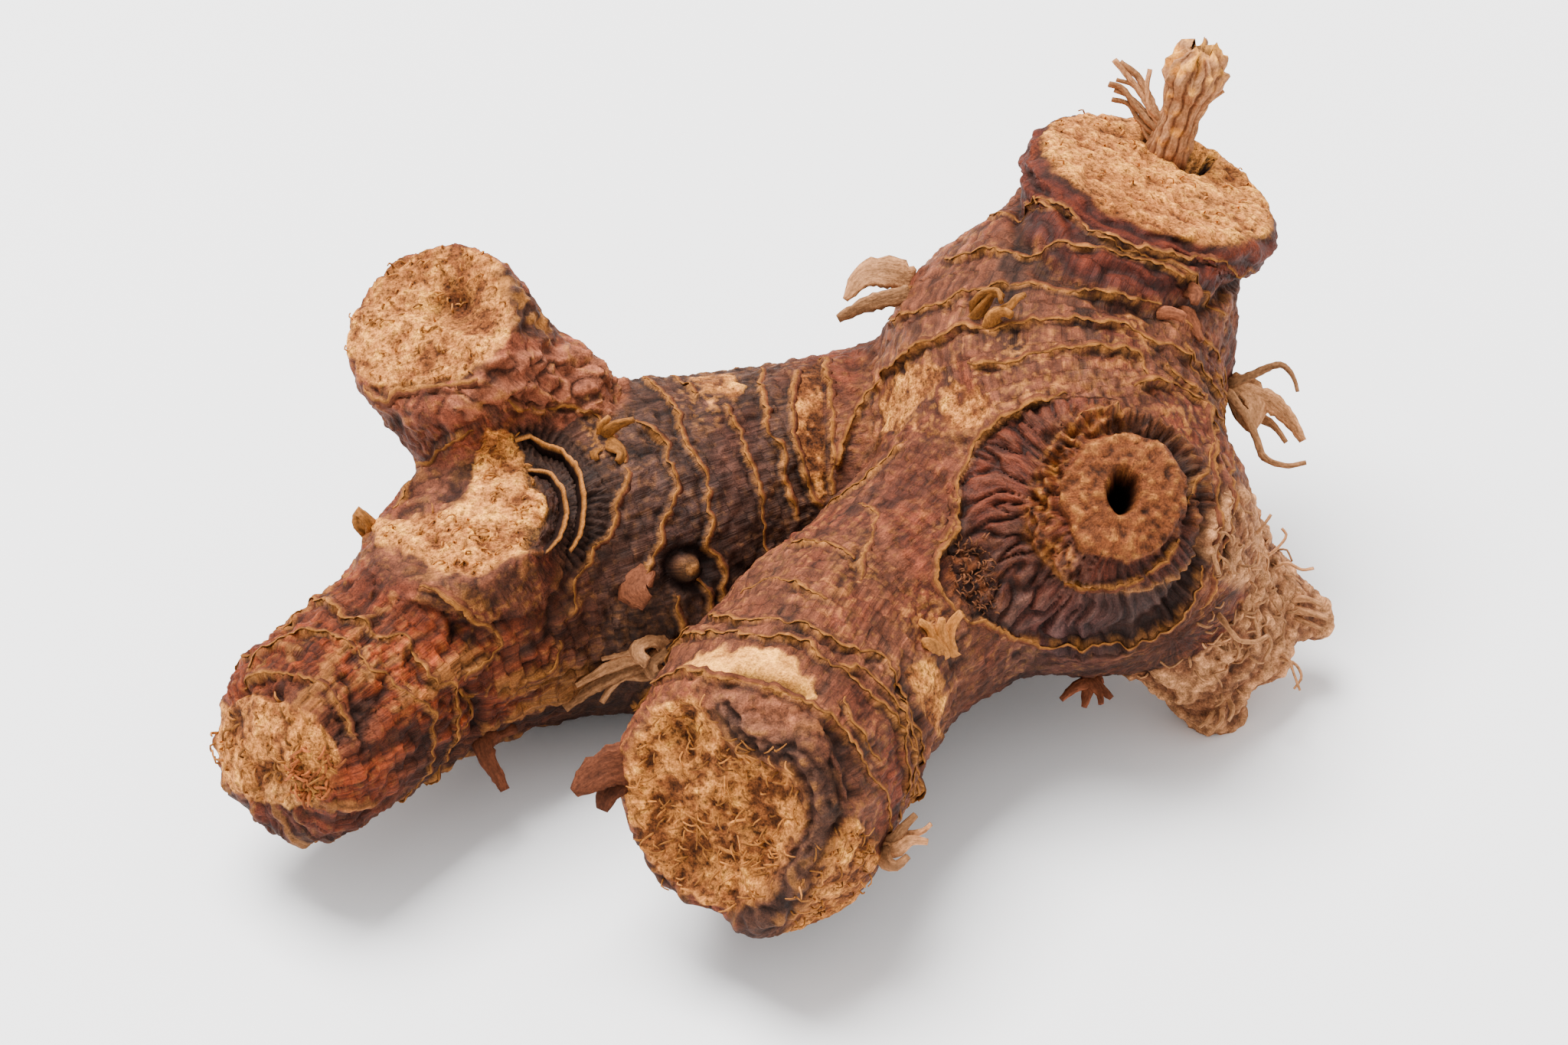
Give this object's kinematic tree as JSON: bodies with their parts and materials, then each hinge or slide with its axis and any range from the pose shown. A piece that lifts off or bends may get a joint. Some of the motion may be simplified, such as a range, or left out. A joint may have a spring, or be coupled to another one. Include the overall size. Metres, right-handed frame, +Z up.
{
  "type": "galangal root",
  "caption": "Dried galangal root: a knobbly branching rhizome with ringed bark, cut ends, a ribbed shoot scar and a few rootlets.",
  "frame": {"origin": "on the surface the root lies on, below the middle of its box", "axes": "+Z up from the surface, +X along the root's length towards the cut stem, +Y to the back"},
  "size_m": [0.094, 0.0766, 0.0464],
  "materials": {
    "bark": "dry ringed bark with a faint sheen, pale fibrous cut ends"
  },
  "bodies": {
    "root": {"rhizome": "bark"}
  },
  "joints": []
}
